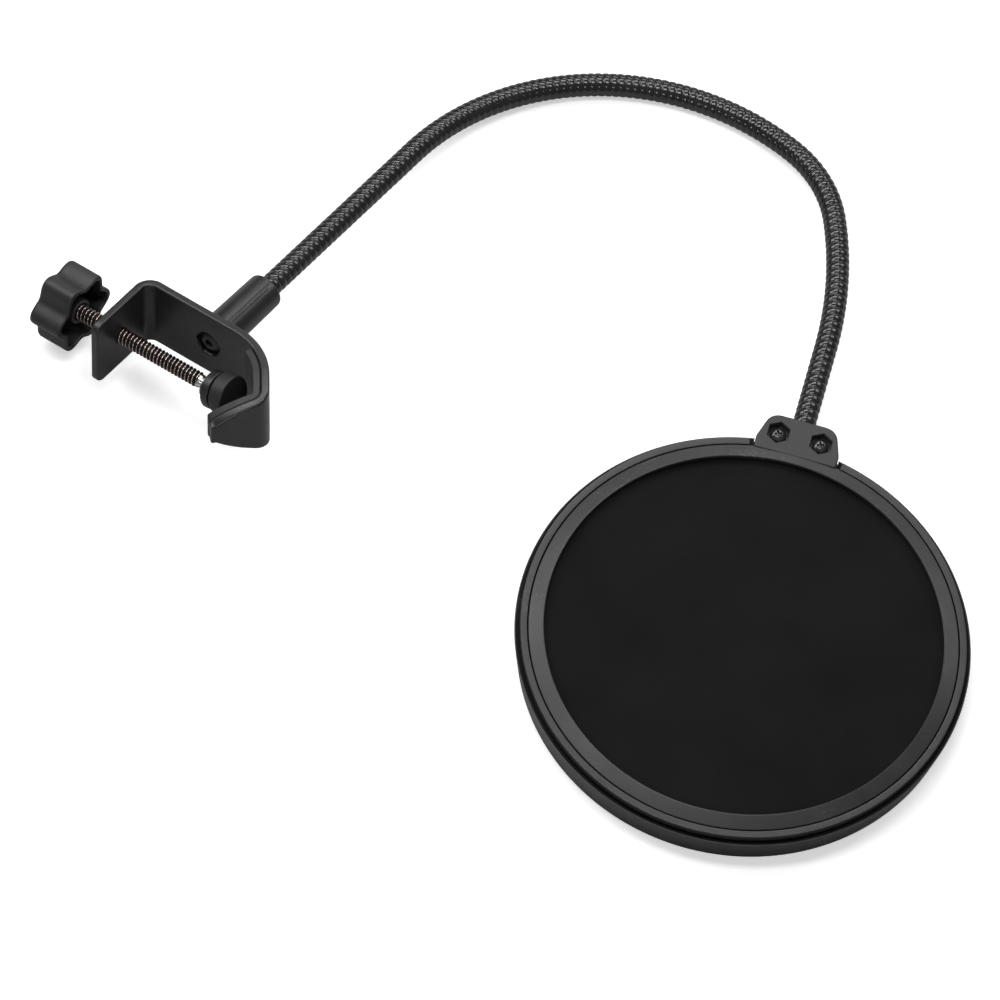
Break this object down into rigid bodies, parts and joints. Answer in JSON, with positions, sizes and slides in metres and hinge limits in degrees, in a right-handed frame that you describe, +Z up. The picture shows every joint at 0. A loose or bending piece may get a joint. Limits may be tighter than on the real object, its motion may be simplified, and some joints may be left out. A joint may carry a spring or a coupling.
{
  "type": "clamp-on pop filter",
  "caption": "Round double mesh screen in a black hoop on a spiral-wound gooseneck, with a screw clamp that grips a tube or edge.",
  "frame": {"origin": "under the middle of the whole, on the plane that the hoop, the neck and the knob lie on", "axes": "+X runs from the knob to the far side of the hoop, the longest way. +Z is up, out of the hoop's front face. The gooseneck arches towards +Y."},
  "size_m": [0.3392, 0.2454, 0.0479],
  "materials": {
    "ring_plastic": "satin moulded black plastic, slightly scuffed",
    "band_plastic": "smooth black plastic band",
    "screen_nylon": "fine black nylon mesh stretched flat",
    "neck_steel": "black-coated spiral-wound steel, semi-gloss",
    "clamp_plastic": "semi-gloss black moulded plastic",
    "liner_rubber": "soft black pad",
    "screw_steel": "dark nickel-plated thread with bright crests",
    "knob_plastic": "fine matte black plastic",
    "pad_plastic": "black moulded plastic",
    "black_screws": "black oxide steel",
    "ferrule_steel": "dark turned steel"
  },
  "bodies": {
    "clamp": {"clamp_frame": "clamp_plastic", "jaw_liner": "liner_rubber", "neck_socket": "clamp_plastic", "neck_root_ferrule": "ferrule_steel", "socket_bolt": "black_screws", "neck_coil_00": "neck_steel"},
    "pad_carrier": {"pad_washer": "screw_steel"},
    "screw": {"clamp_screw": "screw_steel", "knob": "knob_plastic"},
    "pad": {"pad_cup": "pad_plastic", "pad_face": "liner_rubber"},
    "neck_01": {"neck_coil_01": "neck_steel"},
    "neck_02": {"neck_coil_02": "neck_steel"},
    "neck_03": {"neck_coil_03": "neck_steel"},
    "neck_04": {"neck_coil_04": "neck_steel"},
    "neck_05": {"neck_coil_05": "neck_steel"},
    "neck_06": {"neck_coil_06": "neck_steel"},
    "neck_07": {"neck_coil_07": "neck_steel"},
    "neck_08": {"neck_coil_08": "neck_steel"},
    "neck_09": {"neck_coil_09": "neck_steel"},
    "neck_10": {"neck_coil_10": "neck_steel"},
    "neck_11": {"neck_coil_11": "neck_steel"},
    "head": {"neck_coil_12": "neck_steel", "front_ring": "ring_plastic", "rear_ring": "ring_plastic", "hoop_band": "band_plastic", "spacer_ring": "band_plastic", "front_mesh": "screen_nylon", "rear_mesh": "screen_nylon", "tab_screw_left": "black_screws", "tab_screw_right": "black_screws", "neck_tip_ferrule": "ferrule_steel"}
  },
  "joints": [
    {"name": "neck_bend_01", "type": "hinge", "parent": "clamp", "child": "neck_01", "pos_m": [-0.1112, -0.03953, 0.01905], "axis": [0.0046, 0.1383, 0.9904], "range_deg": [-30, 30]},
    {"name": "neck_bend_02", "type": "hinge", "parent": "neck_01", "child": "neck_02", "pos_m": [-0.11023, -0.01047, 0.01499], "axis": [-0.9994, 0.0333, 0], "range_deg": [-30, 30]},
    {"name": "neck_bend_03", "type": "hinge", "parent": "neck_02", "child": "neck_03", "pos_m": [-0.10926, 0.0186, 0.01093], "axis": [-0.0046, -0.1383, -0.9904], "range_deg": [-30, 30]},
    {"name": "neck_bend_04", "type": "hinge", "parent": "neck_03", "child": "neck_04", "pos_m": [-0.1067, 0.04757, 0.00738], "axis": [0.9758, -0.2189, 0], "range_deg": [-30, 30]},
    {"name": "neck_bend_05", "type": "hinge", "parent": "neck_04", "child": "neck_05", "pos_m": [-0.09584, 0.07462, 0.0051], "axis": [0.029, 0.0481, 0.9984], "range_deg": [-30, 30]},
    {"name": "neck_bend_06", "type": "hinge", "parent": "neck_05", "child": "neck_06", "pos_m": [-0.07694, 0.09691, 0.00409], "axis": [-0.6491, 0.7607, 0], "range_deg": [-30, 30]},
    {"name": "neck_bend_07", "type": "hinge", "parent": "neck_06", "child": "neck_07", "pos_m": [-0.05195, 0.11207, 0.00425], "axis": [0.02, 0.0081, -0.9998], "range_deg": [-30, 30]},
    {"name": "neck_bend_08", "type": "hinge", "parent": "neck_07", "child": "neck_08", "pos_m": [-0.02347, 0.11856, 0.00534], "axis": [0.0627, -0.998, 0], "range_deg": [-30, 30]},
    {"name": "neck_bend_09", "type": "hinge", "parent": "neck_08", "child": "neck_09", "pos_m": [0.00507, 0.11391, 0.0073], "axis": [-0.0668, 0.0342, 0.9972], "range_deg": [-30, 30]},
    {"name": "neck_bend_10", "type": "hinge", "parent": "neck_09", "child": "neck_10", "pos_m": [0.02632, 0.09408, 0.00919], "axis": [0.7892, 0.6141, 0], "range_deg": [-30, 30]},
    {"name": "neck_bend_11", "type": "hinge", "parent": "neck_10", "child": "neck_11", "pos_m": [0.0418, 0.06923, 0.01046], "axis": [0.0141, -0.029, -0.9995], "range_deg": [-30, 30]},
    {"name": "neck_bend_12", "type": "hinge", "parent": "neck_11", "child": "head", "pos_m": [0.05366, 0.04238, 0.01109], "axis": [-0.9164, -0.4002, 0], "range_deg": [-30, 30]},
    {"name": "pad_slide", "type": "slide", "parent": "clamp", "child": "pad_carrier", "axis": [0.9699, 0, 0.2436], "range_m": [-0.036, 0.0008]},
    {"name": "screw_turn", "type": "hinge", "parent": "pad_carrier", "child": "screw", "pos_m": [-0.13863, -0.09536, 0.02045], "axis": [0.9699, 0, 0.2436], "range_deg": [-8641, 193]},
    {"name": "pad_swivel", "type": "hinge", "parent": "pad_carrier", "child": "pad", "pos_m": [-0.09809, -0.09536, 0.03063], "axis": [0.0347, 0.9898, -0.1383], "range_deg": [-3, 27]}
  ],
  "couplings": [
    {"joint": "screw_turn", "follows": "pad_slide", "rad_per_m": 4188.8}
  ]
}
